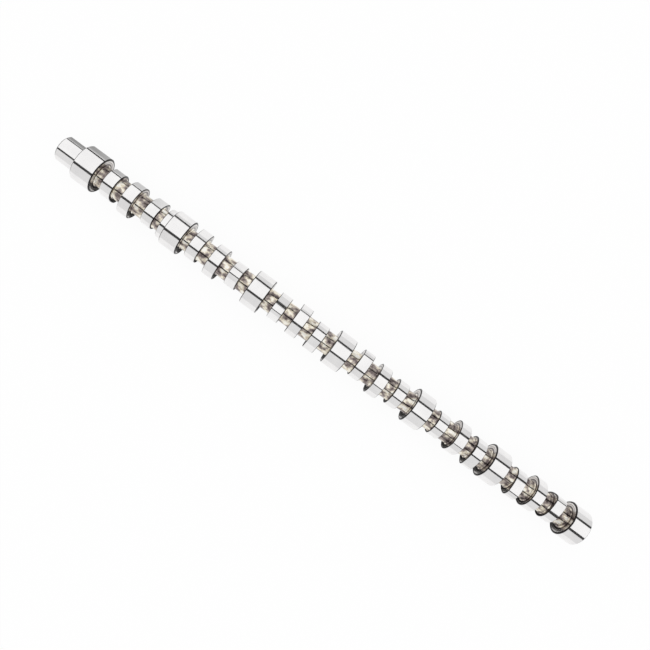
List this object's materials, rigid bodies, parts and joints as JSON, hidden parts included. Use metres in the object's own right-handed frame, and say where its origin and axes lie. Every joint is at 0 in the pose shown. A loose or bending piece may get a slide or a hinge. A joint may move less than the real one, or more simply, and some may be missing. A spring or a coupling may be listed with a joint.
{
  "type": "camshaft",
  "caption": "Ground steel camshaft of an in-line diesel engine, with bearing journals, valve lobes and injector lobes along one shaft and a gear seat at its front end.",
  "frame": {"origin": "centre of the front journal, on the shaft's axis", "axes": "+X along the shaft from the gear seat at the front to the rear journal; +Z away from the keyway; lobe angles run from +Y towards +Z"},
  "size_m": [1.0664, 0.0636, 0.0634],
  "materials": {
    "ground_steel": "ground and polished journals and lobes, satin turned necks"
  },
  "bodies": {
    "root": {"camshaft": "ground_steel"}
  },
  "joints": []
}
